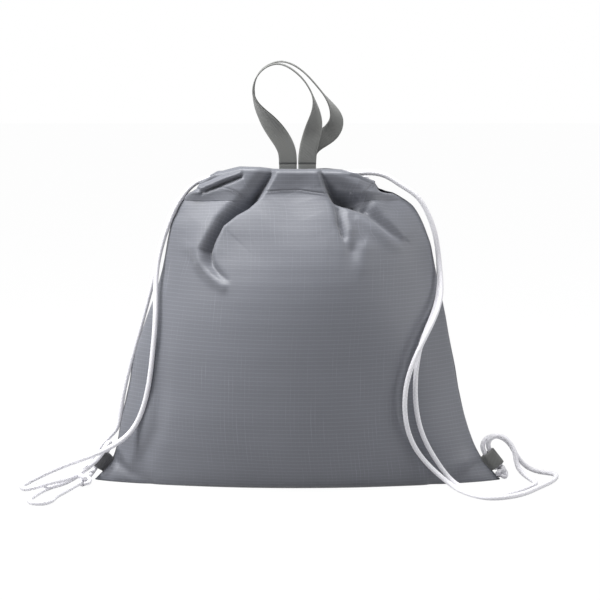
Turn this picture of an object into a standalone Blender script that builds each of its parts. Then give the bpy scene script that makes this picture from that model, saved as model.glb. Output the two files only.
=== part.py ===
"""Drawstring shoe bag, standing full, with two webbing handles, corner tabs and two drawcords.

Metres, +Z up. The front of the bag faces -Y, its width runs along X, and it stands on z = 0.
"""

import math

import bmesh
import bpy
import numpy as np
from mathutils import Vector

# Fits: the gap between pieces that touch, and the wider one round a stitched end
GAP = 0.0003
STITCH_GAP = 0.0005

# Cloth body
CLOTH = 0.0010
BODY_WIDTH = 0.338
BODY_DEPTH = 0.132
NECK_HEIGHT = 0.2412
EDGE_ROUNDING = 0.8
SECTION_POINTS = 56
# Share of the neck height, of the width and of the depth at each level, from the base to the neck
BODY_LEVELS = [
    (0.000, 1.000, 0.606),
    (0.021, 0.956, 0.660),
    (0.041, 0.929, 0.712),
    (0.083, 0.893, 0.788),
    (0.150, 0.872, 0.864),
    (0.257, 0.834, 0.939),
    (0.369, 0.799, 0.985),
    (0.477, 0.772, 1.000),
    (0.585, 0.731, 0.970),
    (0.697, 0.678, 0.894),
    (0.833, 0.633, 0.758),
    (0.945, 0.580, 0.606),
    (0.974, 0.556, 0.500),
    (0.993, 0.527, 0.364),
    (1.000, 0.509, 0.242),
]

# Overlocked seam allowances inside the body
SEAM_WIDTH = 0.006
SEAM_THICK = 0.0010
SEAM_INSET = 0.0008
SEAM_TOP_SHARE = 0.937

# Casings, the stitched top hems that the cords run in
CASING_HEIGHT = 0.0222
CASING_THICK = 0.008
CASING_WIDTH = 0.128
CASING_CORNER = 0.0032
CASING_OVERHANG = 0.001
CASING_CURVE = 0.0036
CASING_STATIONS = 33
CORNER_STEPS = 4

# Cords and the tunnels that they run in
CORD_DIAMETER = 0.004
CORD_CLEARANCE = 0.0008
BORE_ROUNDING = 0.95
CORD_SPACING = 0.005
TUNNEL_ABOVE_FOOT = 0.0150
TURN_X = 0.050
TURN_RADIUS = 0.008
TURN_STEPS = 4
BEND_STEP = math.radians(24)
LONGEST_STEP = 0.026

# Webbing handles
WEBBING_WIDTH = 0.015
WEBBING_THICK = 0.0012
STRAP_LEFT_X = -0.0075
STRAP_RIGHT_X = 0.0084
STRAP_RISE = 0.0040
SEWN_LENGTH = 0.018
HINGE_DROP = 0.0009
LOOP_LEAN = 0.0018
TWIST_START = 0.016
TWIST_END = 0.058
LOOP_STATIONS = 64

# Corner tabs
TAB_HEIGHT = 0.0115
TAB_TONGUE = 0.0030
TAB_EYE_LENGTH = 0.010
TAB_EYE_DEPTH = 0.0052
ARC_STEPS = 10

# Knots that join the two ends of each cord
KNOT_SIZE = (0.0125, 0.0105, 0.0118)
LEFT_KNOT_CENTRE = (-0.1765, -0.0340, 0.0062)
RIGHT_KNOT_CENTRE = (0.1727, 0.0, 0.0062)

# Route of the front handle as (across, above the hinge), from its left strap to its right strap
FRONT_LOOP = [
    (-0.0075, 0.000),
    (-0.0085, 0.010),
    (-0.0135, 0.020),
    (-0.0210, 0.030),
    (-0.0285, 0.040),
    (-0.0345, 0.050),
    (-0.0362, 0.060),
    (-0.0330, 0.071),
    (-0.0250, 0.079),
    (-0.0150, 0.0815),
    (-0.0040, 0.077),
    (0.0065, 0.067),
    (0.0130, 0.055),
    (0.0152, 0.044),
    (0.0148, 0.034),
    (0.0120, 0.022),
    (0.0092, 0.010),
    (0.0084, 0.000),
]

# Route of the back handle, which bows farther out on its right
BACK_LOOP = [
    (-0.0075, 0.000),
    (-0.0085, 0.009),
    (-0.0130, 0.019),
    (-0.0200, 0.029),
    (-0.0275, 0.039),
    (-0.0335, 0.049),
    (-0.0358, 0.060),
    (-0.0325, 0.072),
    (-0.0240, 0.080),
    (-0.0130, 0.0830),
    (0.0000, 0.0785),
    (0.0120, 0.068),
    (0.0220, 0.056),
    (0.0300, 0.044),
    (0.0325, 0.034),
    (0.0280, 0.0245),
    (0.0165, 0.0165),
    (0.0095, 0.0085),
    (0.0084, 0.000),
]

# Free strands of the cords. Each front strand starts at the knot and ends at its casing,
# and each back strand starts at its casing and ends at the knot.
LEFT_FRONT_STRAND = [
    (-0.1757, -0.0282, 0.0062),
    (-0.1735, -0.0125, 0.0062),
    (-0.1694, -0.0002, 0.0108),
    (-0.1649, 0.0000, 0.0172),
    (-0.1604, -0.0002, 0.0236),
    (-0.1572, -0.0035, 0.0305),
    (-0.1582, -0.0110, 0.0330),
    (-0.1620, -0.0175, 0.0275),
    (-0.1695, -0.0205, 0.0185),
    (-0.1790, -0.0255, 0.0115),
    (-0.1900, -0.0360, 0.0078),
    (-0.2060, -0.0550, 0.0072),
    (-0.2190, -0.0570, 0.0040),
    (-0.2270, -0.0450, 0.0024),
    (-0.2180, -0.0265, 0.0060),
    (-0.1970, -0.0190, 0.0145),
    (-0.1660, -0.0285, 0.0275),
    (-0.1400, -0.0205, 0.0430),
    (-0.1265, -0.0225, 0.0700),
    (-0.1200, -0.0235, 0.1080),
    (-0.1175, -0.0180, 0.1430),
    (-0.1165, -0.0050, 0.1800),
    (-0.1080, -0.0029, 0.2130),
    (-0.0955, -0.0027, 0.2390),
    (-0.0775, -0.0032, 0.2535),
]
LEFT_BACK_STRAND = [
    (-0.0775, 0.0032, 0.2535),
    (-0.0960, 0.0027, 0.2390),
    (-0.1090, 0.0026, 0.2130),
    (-0.1190, 0.0020, 0.1750),
    (-0.1310, 0.0010, 0.1300),
    (-0.1480, -0.0005, 0.0600),
    (-0.1530, 0.0005, 0.0420),
    (-0.1610, -0.0030, 0.0340),
    (-0.1685, -0.0085, 0.0240),
    (-0.1770, -0.0120, 0.0120),
    (-0.1870, -0.0190, 0.0045),
    (-0.2020, -0.0420, 0.0024),
    (-0.2130, -0.0780, 0.0023),
    (-0.2150, -0.0960, 0.0023),
    (-0.2115, -0.1060, 0.0023),
    (-0.2040, -0.1080, 0.0023),
    (-0.1985, -0.1020, 0.0023),
    (-0.1960, -0.0880, 0.0023),
    (-0.1890, -0.0600, 0.0025),
    (-0.1795, -0.0414, 0.0052),
]
RIGHT_FRONT_STRAND = [
    (0.1673, 0.0000, 0.0101),
    (0.1630, 0.0000, 0.0158),
    (0.1585, 0.0000, 0.0222),
    (0.1564, 0.0010, 0.0290),
    (0.1600, 0.0030, 0.0345),
    (0.1690, 0.0032, 0.0362),
    (0.1780, 0.0055, 0.0310),
    (0.1855, 0.0095, 0.0195),
    (0.1945, 0.0150, 0.0085),
    (0.2060, 0.0195, 0.0028),
    (0.2165, 0.0130, 0.0023),
    (0.2175, -0.0060, 0.0023),
    (0.1990, -0.0460, 0.0023),
    (0.1770, -0.0790, 0.0023),
    (0.1570, -0.0880, 0.0023),
    (0.1380, -0.0680, 0.0024),
    (0.1240, -0.0420, 0.0065),
    (0.1050, -0.0385, 0.0240),
    (0.0900, -0.0460, 0.0560),
    (0.0910, -0.0470, 0.0930),
    (0.1060, -0.0395, 0.1280),
    (0.1190, -0.0175, 0.1580),
    (0.1185, -0.0035, 0.1850),
    (0.1150, -0.0028, 0.2080),
    (0.1085, -0.0027, 0.2260),
    (0.0995, -0.0028, 0.2395),
    (0.0860, -0.0030, 0.2490),
    (0.0735, -0.0034, 0.2565),
]
RIGHT_BACK_STRAND = [
    (0.0735, 0.0034, 0.2565),
    (0.0860, 0.0030, 0.2490),
    (0.0995, 0.0028, 0.2395),
    (0.1085, 0.0027, 0.2260),
    (0.1150, 0.0028, 0.2080),
    (0.1185, 0.0015, 0.1800),
    (0.1155, -0.0135, 0.1510),
    (0.1030, -0.0335, 0.1220),
    (0.0975, -0.0405, 0.0900),
    (0.1010, -0.0400, 0.0540),
    (0.1140, -0.0330, 0.0250),
    (0.1275, -0.0345, 0.0070),
    (0.1395, -0.0550, 0.0024),
    (0.1505, -0.0745, 0.0023),
    (0.1630, -0.0790, 0.0023),
    (0.1770, -0.0670, 0.0023),
    (0.1930, -0.0420, 0.0023),
    (0.1985, -0.0260, 0.0025),
    (0.1925, -0.0130, 0.0050),
    (0.1855, -0.0080, 0.0125),
    (0.1830, -0.0060, 0.0235),
    (0.1775, -0.0045, 0.0335),
    (0.1690, -0.0034, 0.0378),
    (0.1617, -0.0026, 0.0338),
    (0.1621, -0.0002, 0.0255),
    (0.1669, 0.0000, 0.0186),
    (0.1714, 0.0000, 0.0129),
]

COLOURS = {
    "cloth": ((0.235, 0.245, 0.275, 1.0), 0.6),
    "lining": ((0.180, 0.188, 0.210, 1.0), 0.7),
    "webbing": ((0.105, 0.108, 0.105, 1.0), 0.8),
    "cord": ((0.830, 0.830, 0.840, 1.0), 0.8),
}


def start_scene():
    """Empties the scene that Blender opens with."""
    for obj in list(bpy.data.objects):
        bpy.data.objects.remove(obj, do_unlink=True)


def material(name, kind):
    colour, roughness = COLOURS[kind]
    made = bpy.data.materials.new(name)
    made.use_nodes = True
    shader = made.node_tree.nodes["Principled BSDF"]
    shader.inputs["Base Color"].default_value = colour
    shader.inputs["Roughness"].default_value = roughness
    shader.inputs["Metallic"].default_value = 0.0
    made.diffuse_color = colour
    return made


def place(name, data, kind):
    """Adds the data to the scene as the named piece, with a material of its own."""
    obj = bpy.data.objects.new(name, data)
    bpy.context.scene.collection.objects.link(obj)
    if kind:
        data.materials.append(material(name + "_finish", kind))
    return obj


def helper(obj):
    obj.hide_render = True
    obj.display_type = "WIRE"
    return obj


def loft(name, sections, kind=None, smooth=True):
    """Joins closed sections of equal length into one closed solid with outward normals."""
    count = len(sections[0])
    points = [point for section in sections for point in section]
    faces = []
    for row in range(len(sections) - 1):
        for i in range(count):
            j = (i + 1) % count
            lower = row * count
            faces.append((lower + i, lower + j, lower + count + j, lower + count + i))
    faces.append(tuple(range(count)))
    faces.append(tuple(range(len(points) - count, len(points))))
    mesh = bpy.data.meshes.new(name)
    mesh.from_pydata(points, [], faces)
    outward(mesh)
    for polygon in mesh.polygons:
        polygon.use_smooth = smooth and len(polygon.vertices) == 4
    return place(name, mesh, kind)


def outward(mesh):
    shape = bmesh.new()
    shape.from_mesh(mesh)
    bmesh.ops.recalc_face_normals(shape, faces=shape.faces)
    shape.to_mesh(mesh)
    shape.free()


def box(name, low, high, kind=None):
    corners = [(low[0], low[1]), (high[0], low[1]), (high[0], high[1]), (low[0], high[1])]
    sections = [[(x, y, z) for x, y in corners] for z in (low[2], high[2])]
    return loft(name, sections, kind, smooth=False)


def cut(obj, cutter):
    modifier = obj.modifiers.new("cut_" + cutter.name, "BOOLEAN")
    modifier.operation = "DIFFERENCE"
    modifier.solver = "EXACT"
    modifier.object = cutter


# Cloth body


def body_levels():
    """The (height, half width, half depth) of the outer surface at each level."""
    return [
        (NECK_HEIGHT * up, BODY_WIDTH / 2 * across, BODY_DEPTH / 2 * deep)
        for up, across, deep in BODY_LEVELS
    ]


def inner_levels():
    """The same for the inner surface, one wall inside the outer surface along its normal."""
    outer = body_levels()
    inner = []
    for i, (height, half_width, half_depth) in enumerate(outer):
        before = outer[max(i - 1, 0)]
        after = outer[min(i + 1, len(outer) - 1)]
        rise = after[0] - before[0]
        side_slope = (after[1] - before[1]) / rise
        front_slope = (after[2] - before[2]) / rise
        inner.append(
            (
                max(height, CLOTH),
                half_width - CLOTH * math.hypot(1, side_slope),
                half_depth - CLOTH * math.hypot(1, front_slope),
            )
        )
    return inner


def half_size_at(levels, height):
    """The (half width, half depth) of a surface at any height."""
    for low, high in zip(levels, levels[1:]):
        if height <= high[0]:
            share = (height - low[0]) / (high[0] - low[0])
            return (
                low[1] + share * (high[1] - low[1]),
                low[2] + share * (high[2] - low[2]),
            )
    return levels[-1][1:]


def lens(height, half_width, half_depth):
    """One level section: two bowed cloth panels that meet at the side seams."""
    section = []
    for i in range(SECTION_POINTS):
        angle = 2 * math.pi * i / SECTION_POINTS
        bow = abs(math.sin(angle)) ** (2 * EDGE_ROUNDING)
        section.append(
            (
                half_width * math.cos(angle),
                math.copysign(half_depth * bow, math.sin(angle)),
                height,
            )
        )
    return section


def make_panels():
    inner = inner_levels()
    above_neck = (NECK_HEIGHT + CLOTH, inner[-1][1], inner[-1][2])
    hollow = helper(loft("body_hollow", [lens(*level) for level in inner + [above_neck]]))
    reach = BODY_WIDTH
    for name, side in (("front_panel", -1), ("back_panel", 1)):
        panel = loft(name, [lens(*level) for level in body_levels()], "cloth")
        low_y, high_y = (-GAP / 2, reach) if side < 0 else (-reach, GAP / 2)
        half_space = box(name + "_other_half", (-reach, low_y, -reach), (reach, high_y, reach))
        cut(panel, hollow)
        cut(panel, helper(half_space))


def make_seams():
    """Overlocked seam allowances that join the two panels, standing inside the body."""
    inner = inner_levels()
    seam_top = SEAM_TOP_SHARE * NECK_HEIGHT
    heights = [level[0] for level in inner if CLOTH + GAP < level[0] < seam_top]
    heights = [CLOTH + GAP] + heights + [seam_top]
    half = SEAM_THICK / 2
    for name, side in (("left_side_seam", -1), ("right_side_seam", 1)):
        sections = []
        for height in heights:
            edge = half_size_at(inner, height)[0] - SEAM_INSET
            far, near = side * edge, side * (edge - SEAM_WIDTH)
            sections.append(
                [(near, -half, height), (far, -half, height), (far, half, height), (near, half, height)]
            )
        loft(name, sections, "lining", smooth=False)
    top = CLOTH + GAP + SEAM_WIDTH
    end = half_size_at(inner, top)[0] - SEAM_INSET - SEAM_WIDTH - STITCH_GAP
    box("bottom_seam", (-end, -half, CLOTH + GAP), (end, half, top), "lining")


# Casings


def casing_foot():
    return NECK_HEIGHT + GAP


def casing_centre(x):
    """How far the middle of a casing stands from the middle of the mouth."""
    neck_half_depth = body_levels()[-1][2]
    at_middle = neck_half_depth + CASING_OVERHANG - CASING_THICK / 2
    return at_middle - CASING_CURVE * (x / (CASING_WIDTH / 2)) ** 2


def tunnel_centre(x):
    """How far the cord tunnel stands from the middle of the mouth."""
    at_middle = casing_centre(0)
    return at_middle - (at_middle - TURN_RADIUS) * (x / TURN_X) ** 2


def tunnel_height():
    return casing_foot() + TUNNEL_ABOVE_FOOT


def rounded_rectangle(x, y, z, half_thick, half_high, corner):
    """A section across X with quarter-round corners."""
    section = []
    for quarter, (side, up) in enumerate(((1, 1), (-1, 1), (-1, -1), (1, -1))):
        for step in range(CORNER_STEPS + 1):
            angle = math.pi / 2 * (quarter + step / CORNER_STEPS)
            section.append(
                (
                    x,
                    y + side * (half_thick - corner) + corner * math.cos(angle),
                    z + up * (half_high - corner) + corner * math.sin(angle),
                )
            )
    return section


def make_casings():
    half_high = CASING_HEIGHT / 2
    bore_half_thick = CORD_DIAMETER / 2 + CORD_CLEARANCE
    bore_half_high = CORD_SPACING / 2 + CORD_DIAMETER / 2 + CORD_CLEARANCE
    bore_reach = CASING_WIDTH / 2 + CASING_THICK
    for name, side in (("front_casing", -1), ("back_casing", 1)):
        shell = []
        bore = []
        for i in range(CASING_STATIONS):
            share = 2 * i / (CASING_STATIONS - 1) - 1
            x = share * CASING_WIDTH / 2
            y = side * casing_centre(x)
            z = casing_foot() + half_high
            shell.append(rounded_rectangle(x, y, z, CASING_THICK / 2, half_high, CASING_CORNER))
            x = share * bore_reach
            y = side * tunnel_centre(x)
            corner = bore_half_thick * BORE_ROUNDING
            bore.append(
                rounded_rectangle(x, y, tunnel_height(), bore_half_thick, bore_half_high, corner)
            )
        casing = loft(name, shell, "cloth")
        cut(casing, helper(loft(name + "_bore", bore)))


# Routes


def smooth_route(points):
    """Samples a natural cubic curve through the points, at a quarter of the cord's diameter."""
    route = np.array(points)
    spans = np.linalg.norm(np.diff(route, axis=0), axis=1)
    slopes = np.diff(route, axis=0) / spans[:, None]
    count = len(route)
    system = np.eye(count)
    target = np.zeros((count, 3))
    for i in range(1, count - 1):
        system[i, i - 1 : i + 2] = (spans[i - 1], 2 * (spans[i - 1] + spans[i]), spans[i])
        target[i] = 6 * (slopes[i] - slopes[i - 1])
    bends = np.linalg.solve(system, target)
    samples = []
    for i, span in enumerate(spans):
        steps = max(4, round(span / (CORD_DIAMETER / 4)))
        for t in span * np.arange(steps) / steps:
            back = span - t
            curve = (bends[i] * back**3 + bends[i + 1] * t**3) / (6 * span)
            start = (route[i] / span - bends[i] * span / 6) * back
            end = (route[i + 1] / span - bends[i + 1] * span / 6) * t
            samples.append(Vector(curve + start + end))
    samples.append(Vector(route[-1]))
    return samples


def evenly(samples, count):
    """Picks that many points at equal distances along the samples."""
    lengths = [0.0]
    for a, b in zip(samples, samples[1:]):
        lengths.append(lengths[-1] + (b - a).length)
    picked = []
    i = 0
    for n in range(count):
        target = lengths[-1] * n / (count - 1)
        while i < len(samples) - 2 and lengths[i + 1] < target:
            i += 1
        share = (target - lengths[i]) / (lengths[i + 1] - lengths[i])
        picked.append(samples[i].lerp(samples[i + 1], min(max(share, 0.0), 1.0)))
    return picked


# Webbing handles


def strap_offset():
    """How far the middle of a sewn strap stands from the middle of the mouth."""
    thinnest = min(casing_centre(0), casing_centre(STRAP_LEFT_X - WEBBING_WIDTH / 2))
    inner_face = thinnest - CASING_THICK / 2
    return inner_face - GAP - WEBBING_THICK / 2


def hinge_height():
    return casing_foot() + CASING_HEIGHT + STRAP_RISE


def twist(height):
    """How far the webbing has turned from facing the front at this height above its hinge."""
    share = (height - TWIST_START) / (TWIST_END - TWIST_START)
    share = min(max(share, 0.0), 1.0)
    return math.pi / 2 * share * share * (3 - 2 * share)


def loop_lean(top):
    """How far the top of a loop leans out: enough that the turned webbing clears the other handle."""
    missing = WEBBING_WIDTH / 2 + WEBBING_THICK / 2 + GAP - strap_offset()
    return max(LOOP_LEAN, missing * top / TWIST_END)


def make_handle(name, side, outline):
    """A loop of webbing that stands on its hinge line and leans a little away from the other handle."""
    top = max(height for _, height in outline)
    samples = smooth_route([(x, 0.0, height) for x, height in outline])
    path = evenly(samples, LOOP_STATIONS)
    half_wide, half_thick = WEBBING_WIDTH / 2, WEBBING_THICK / 2
    across = Vector((0, 1, 0))
    sections = []
    for i, point in enumerate(path):
        along = (path[min(i + 1, len(path) - 1)] - path[max(i - 1, 0)]).normalized()
        if i in (0, len(path) - 1):
            along = Vector((0, 0, 1 if i == 0 else -1))
        in_plane = along.cross(across)
        turn = twist(point.z)
        wide = in_plane * math.cos(turn) + across * math.sin(turn)
        thick = along.cross(wide)
        lean = side * loop_lean(top) * point.z / top
        centre = Vector((point.x, lean, point.z))
        sections.append(
            [
                centre + half_wide * wide + half_thick * thick,
                centre - half_wide * wide + half_thick * thick,
                centre - half_wide * wide - half_thick * thick,
                centre + half_wide * wide - half_thick * thick,
            ]
        )
    handle = loft(name, sections, "webbing", smooth=False)
    handle.location = (0.0, side * strap_offset(), hinge_height())


def make_handle_base(name, side):
    """The two ends of a handle, sewn down side by side inside its casing."""
    top = hinge_height() - HINGE_DROP
    middle = side * strap_offset()
    low = (STRAP_LEFT_X - WEBBING_WIDTH / 2, middle - WEBBING_THICK / 2, top - SEWN_LENGTH)
    high = (STRAP_RIGHT_X + WEBBING_WIDTH / 2, middle + WEBBING_THICK / 2, top)
    box(name, low, high, "webbing")


# Corner tabs


def tab_outline():
    """The folded webbing seen along the seam: a tongue that opens into a round-ended loop."""
    half = TAB_EYE_DEPTH / 2 + WEBBING_THICK
    length = TAB_EYE_LENGTH + 2 * WEBBING_THICK
    root = STITCH_GAP
    near = root + TAB_TONGUE + half
    far = near + length - 2 * half
    opening = math.asin(WEBBING_THICK / half)
    outline = [(root, WEBBING_THICK)]
    for step in range(ARC_STEPS + 1):
        angle = math.pi - opening - (math.pi / 2 - opening) * step / ARC_STEPS
        outline.append((near + half * math.cos(angle), half * math.sin(angle)))
    for step in range(ARC_STEPS + 1):
        angle = math.pi / 2 * (1 - step / ARC_STEPS)
        outline.append((far + half * math.cos(angle), half * math.sin(angle)))
    mirrored = [(out, -across) for out, across in reversed(outline)]
    return outline + mirrored[1:]


def eye_outline():
    half = TAB_EYE_DEPTH / 2
    near = STITCH_GAP + TAB_TONGUE + WEBBING_THICK + half
    far = near + TAB_EYE_LENGTH - 2 * half
    outline = []
    for centre, start in ((far, -math.pi / 2), (near, math.pi / 2)):
        for step in range(ARC_STEPS + 1):
            angle = start + math.pi * step / ARC_STEPS
            outline.append((centre + half * math.cos(angle), half * math.sin(angle)))
    return outline


def make_tab(name, side):
    levels = body_levels()
    above = half_size_at(levels, TAB_HEIGHT + WEBBING_WIDTH / 2)[0]
    below = half_size_at(levels, TAB_HEIGHT - WEBBING_WIDTH / 2)[0]
    along = Vector((side * (above - below), 0, WEBBING_WIDTH)).normalized()
    out = Vector((side * along.z, 0, -side * along.x))
    base = Vector((side * (above + below) / 2, 0, TAB_HEIGHT))

    def prism(prism_name, outline, half_length, kind=None):
        sections = []
        for end in (-1, 1):
            start = base + along * half_length * end
            sections.append([start + out * away + Vector((0, across, 0)) for away, across in outline])
        return loft(prism_name, sections, kind, smooth=False)

    tab = prism(name, tab_outline(), WEBBING_WIDTH / 2, "webbing")
    cut(tab, helper(prism(name + "_eye", eye_outline(), WEBBING_WIDTH)))


# Cords and knots


def casing_run(side, height):
    """The route of a cord from its own side through the front casing and back through the back one."""
    ends = CASING_WIDTH / 2
    xs = [ends, TURN_X, TURN_X * 2 / 3, TURN_X / 3, 0.0, -TURN_X / 3, -TURN_X * 2 / 3]
    front = [(side * x, -tunnel_centre(x), height) for x in xs]
    back = [(side * x, tunnel_centre(x), height) for x in reversed(xs)]
    turn = []
    for step in range(TURN_STEPS + 1):
        angle = math.pi * (step / TURN_STEPS - 0.5)
        x = TURN_X + TURN_RADIUS * math.cos(angle)
        turn.append((-side * x, TURN_RADIUS * math.sin(angle), height))
    return front + turn + back


def thin_out(samples):
    """Keeps the samples that a bend needs, and few on the straight."""
    kept = [samples[0]]
    heading = (samples[1] - samples[0]).normalized()
    for before, point, after in zip(samples, samples[1:], samples[2:]):
        turned = heading.angle((after - point).normalized())
        if turned > BEND_STEP or (point - kept[-1]).length > LONGEST_STEP:
            kept.append(point)
            heading = (after - point).normalized()
    kept.append(samples[-1])
    return kept


def make_cord(name, front_strand, back_strand, side, height):
    route = front_strand + casing_run(side, height) + back_strand
    points = thin_out(smooth_route(route))
    data = bpy.data.curves.new(name, "CURVE")
    data.dimensions = "3D"
    data.bevel_depth = CORD_DIAMETER / 2
    data.bevel_resolution = 2
    data.use_fill_caps = True
    spline = data.splines.new("POLY")
    spline.points.add(len(points) - 1)
    for target, point in zip(spline.points, points):
        target.co = (*point, 1.0)
    place(name, data, "cord")


def make_knot(name, centre):
    mesh = bpy.data.meshes.new(name)
    shape = bmesh.new()
    bmesh.ops.create_icosphere(shape, subdivisions=3, radius=0.5)
    bmesh.ops.scale(shape, vec=Vector(KNOT_SIZE), verts=shape.verts)
    shape.to_mesh(mesh)
    shape.free()
    for polygon in mesh.polygons:
        polygon.use_smooth = True
    knot = place(name, mesh, "cord")
    knot.location = centre


start_scene()
make_panels()
make_seams()
make_casings()
make_handle("front_handle", -1, FRONT_LOOP)
make_handle("back_handle", 1, BACK_LOOP)
make_handle_base("front_handle_base", -1)
make_handle_base("back_handle_base", 1)
make_tab("left_tab", -1)
make_tab("right_tab", 1)
make_cord("left_cord", LEFT_FRONT_STRAND, LEFT_BACK_STRAND, -1, tunnel_height() - CORD_SPACING / 2)
make_cord("right_cord", RIGHT_FRONT_STRAND, RIGHT_BACK_STRAND, 1, tunnel_height() + CORD_SPACING / 2)
make_knot("left_cord_knot", LEFT_KNOT_CENTRE)
make_knot("right_cord_knot", RIGHT_KNOT_CENTRE)
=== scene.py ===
"""A drawstring shoe bag in ripstop cloth, stuffed full, with webbing handles and two white drawcords."""

import math

import bmesh
import bpy
import numpy as np
from mathutils import Matrix, Vector, noise


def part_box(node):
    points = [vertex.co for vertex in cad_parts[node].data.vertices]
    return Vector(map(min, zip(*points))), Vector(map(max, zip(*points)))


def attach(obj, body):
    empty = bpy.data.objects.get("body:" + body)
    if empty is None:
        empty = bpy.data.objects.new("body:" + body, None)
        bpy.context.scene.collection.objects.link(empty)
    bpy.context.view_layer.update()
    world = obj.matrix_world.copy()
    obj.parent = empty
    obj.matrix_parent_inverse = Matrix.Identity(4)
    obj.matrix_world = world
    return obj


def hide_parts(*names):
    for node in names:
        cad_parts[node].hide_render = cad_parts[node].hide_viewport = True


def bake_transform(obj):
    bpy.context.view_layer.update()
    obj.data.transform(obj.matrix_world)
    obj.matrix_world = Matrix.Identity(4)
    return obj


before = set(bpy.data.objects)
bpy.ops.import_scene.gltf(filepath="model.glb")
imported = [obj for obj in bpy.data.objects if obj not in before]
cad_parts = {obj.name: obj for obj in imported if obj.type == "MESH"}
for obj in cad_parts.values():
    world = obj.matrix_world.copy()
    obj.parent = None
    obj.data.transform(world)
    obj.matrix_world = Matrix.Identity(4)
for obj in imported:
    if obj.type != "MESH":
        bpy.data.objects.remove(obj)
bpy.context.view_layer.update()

MM = 0.001

# Camera
LENS = 144.6
SENSOR_WIDTH = 36.0
VIEW_POINT = (0.0025, -2.0, 0.40)
AIM_POINT = (0.0025, 0.0, 0.15246)
FLOOR_REACH = 6.0

# Cords
CORD_DIAMETER = 0.004
CORD_STEP = 0.0009
CORD_SIDES = 18
BRAID_PITCH = 0.0062
BRAID_RELIEF = 0.00012
CASING_END = 0.064
TURN_X = 0.050
TURN_RADIUS = 0.008
LEFT_CORD_HEIGHT = 0.2540
RIGHT_CORD_HEIGHT = 0.2590
# Depth of the tunnel's middle behind the mouth's plane at x = 0, and how much of it is lost at TURN_X
TUNNEL_MIDDLE = 0.01297
TUNNEL_BOW = 0.00497
KNOT_SIZE = (0.0125, 0.0105, 0.0118)
LEFT_KNOT_CENTRE = (-0.1765, -0.0340, 0.0062)
RIGHT_KNOT_CENTRE = (0.1727, 0.0, 0.0062)
KNOT_SHARE = 0.98
KNOT_POINTS = 150
KNOT_SIDES = 14

# Cloth
CLOTH = 0.0006
COLUMNS = 300
COLUMN_EASING = 0.16
BASE_ROWS = 16
CORNER_ROWS = 7
WALL_ROWS = 110
SHOULDER_ROWS = 75
CASING_ROWS = 31
SHOULDER_HEIGHT = 0.190
HINGE_HEIGHT = 0.2415
CASING_TOP = 0.2600
TOP_FOLD = 0.0034
BASE_CORNER = 0.006
# Kept free beside the side seams and under the base
CLEARANCE = 0.0004
# How the section goes from a stuffed body to an open mouth
MOUTH_START = 0.236
MOUTH_RISE = 0.010
MOUTH_END_DEPTH = 0.0068
BODY_ROUNDING = 1.6
MOUTH_FLATTENING = 0.9
# Above this height the folds push straight out instead of along the surface's own normal
UPRIGHT_START = 0.232
UPRIGHT_RISE = 0.010
UPRIGHT_SHARES = (0.35, 1.0, 0.25)
# Slow unevenness: noise scales, the offset between the two panels, and its height in millimetres
UNEVEN_SCALES = (14, 14, 17)
UNEVEN_OFFSET = 9
UNEVEN_HEIGHT = 1.5
# Hem relief in millimetres
HEM_STEP = 0.9
HEM_STEP_WIDTH = 0.8
GROOVE_DEPTH = 1.0
GROOVE_OFFSET = 1.3
GROOVE_WIDTH = 0.7
# Room for the cords between the outer cloth and the lining
TUNNEL_END = 0.066
TUNNEL_FRONT = 0.0029
TUNNEL_LEAST = 0.0072
TUNNEL_START = 0.2430
TUNNEL_RISE = 0.0075
LINING_BEHIND = 0.0040
LINING_LEAST = 0.0016
LINING_RIGHT_END = 0.036
LINING_LEFT_END = 0.060
LINING_FADE = 0.008
LINING_BOTTOM = HINGE_HEIGHT + 0.0008
FLATTEST_FOLD = 0.3
THREAD_SPACING = 0.0034
STITCH_LENGTH = 0.0019
STITCH_SPACE = 0.0006
THREAD_RADIUS = 0.00030
THREAD_SIDES = 6
THREAD_ARCH = 0.00016
# A stitch is left out where the cloth under it steps back further than this
STITCH_JUMP = 0.004
STITCH_ABOVE_LINE = 0.0006
STITCH_SEARCH = 0.004
STITCH_NEAREST = 6

# Webbing
WEBBING_WIDTH = 0.015
WEBBING_THICK = 0.0012
STRAP_OFFSET = 0.00787
LOOP_HINGE = 0.2677
LOOP_LEAN = 0.0018
LOOP_SINK = 0.0012
TWIST_START = 0.016
TWIST_END = 0.058
STRAP_END_WIDTH_SHARE = 0.98
STRAP_END_THICK_SHARE = 0.92
TAB_EYE_DEPTH = 0.0052
TAB_EYE_LENGTH = 0.010
TAB_THICK_SHARE = 0.96
# The right tab's place in the corner seam, and the directions along that seam and out of it
TAB_BASE = (0.15735, 0.0, 0.0115)
TAB_ALONG = (-0.615, 0.0, 0.788)
TAB_OUT = (0.788, 0.0, 0.615)
TAB_ROOT = [(0.0008, 0.0007), (0.0022, 0.0008)]
TAB_STITCHED = 0.0005
TAB_NECK = 0.0030

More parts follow.
